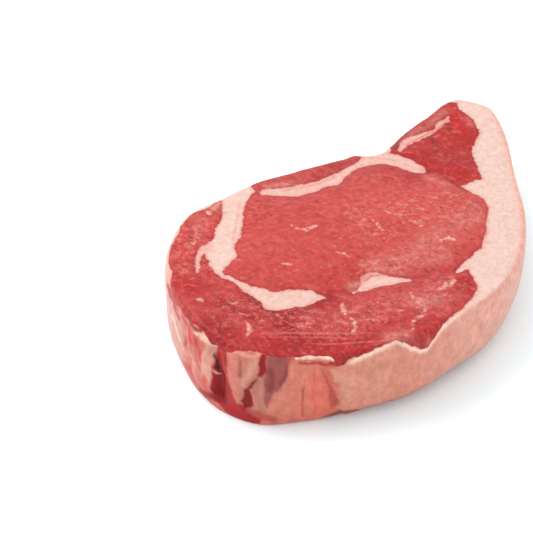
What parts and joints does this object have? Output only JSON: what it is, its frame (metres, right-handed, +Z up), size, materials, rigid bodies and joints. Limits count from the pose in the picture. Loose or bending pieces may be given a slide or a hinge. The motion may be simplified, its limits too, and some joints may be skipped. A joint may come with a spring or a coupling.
{
  "type": "raw beef steak",
  "caption": "Thick boneless raw beef steak lying flat: a broad marbled eye with a fat rim, narrowing to a tail at one end.",
  "frame": {"origin": "middle of the outline's box, on the flat lower cut face that the steak rests on", "axes": "+Z up through the thickness, +X along the length from the broad end to the tail, +Y towards the thin far edge"},
  "size_m": [0.1986, 0.1212, 0.0362],
  "materials": {
    "raw_beef": "moist raw lean with pale fat seams, a fat rim and fine marbling"
  },
  "bodies": {
    "root": {"steak": "raw_beef"}
  },
  "joints": []
}
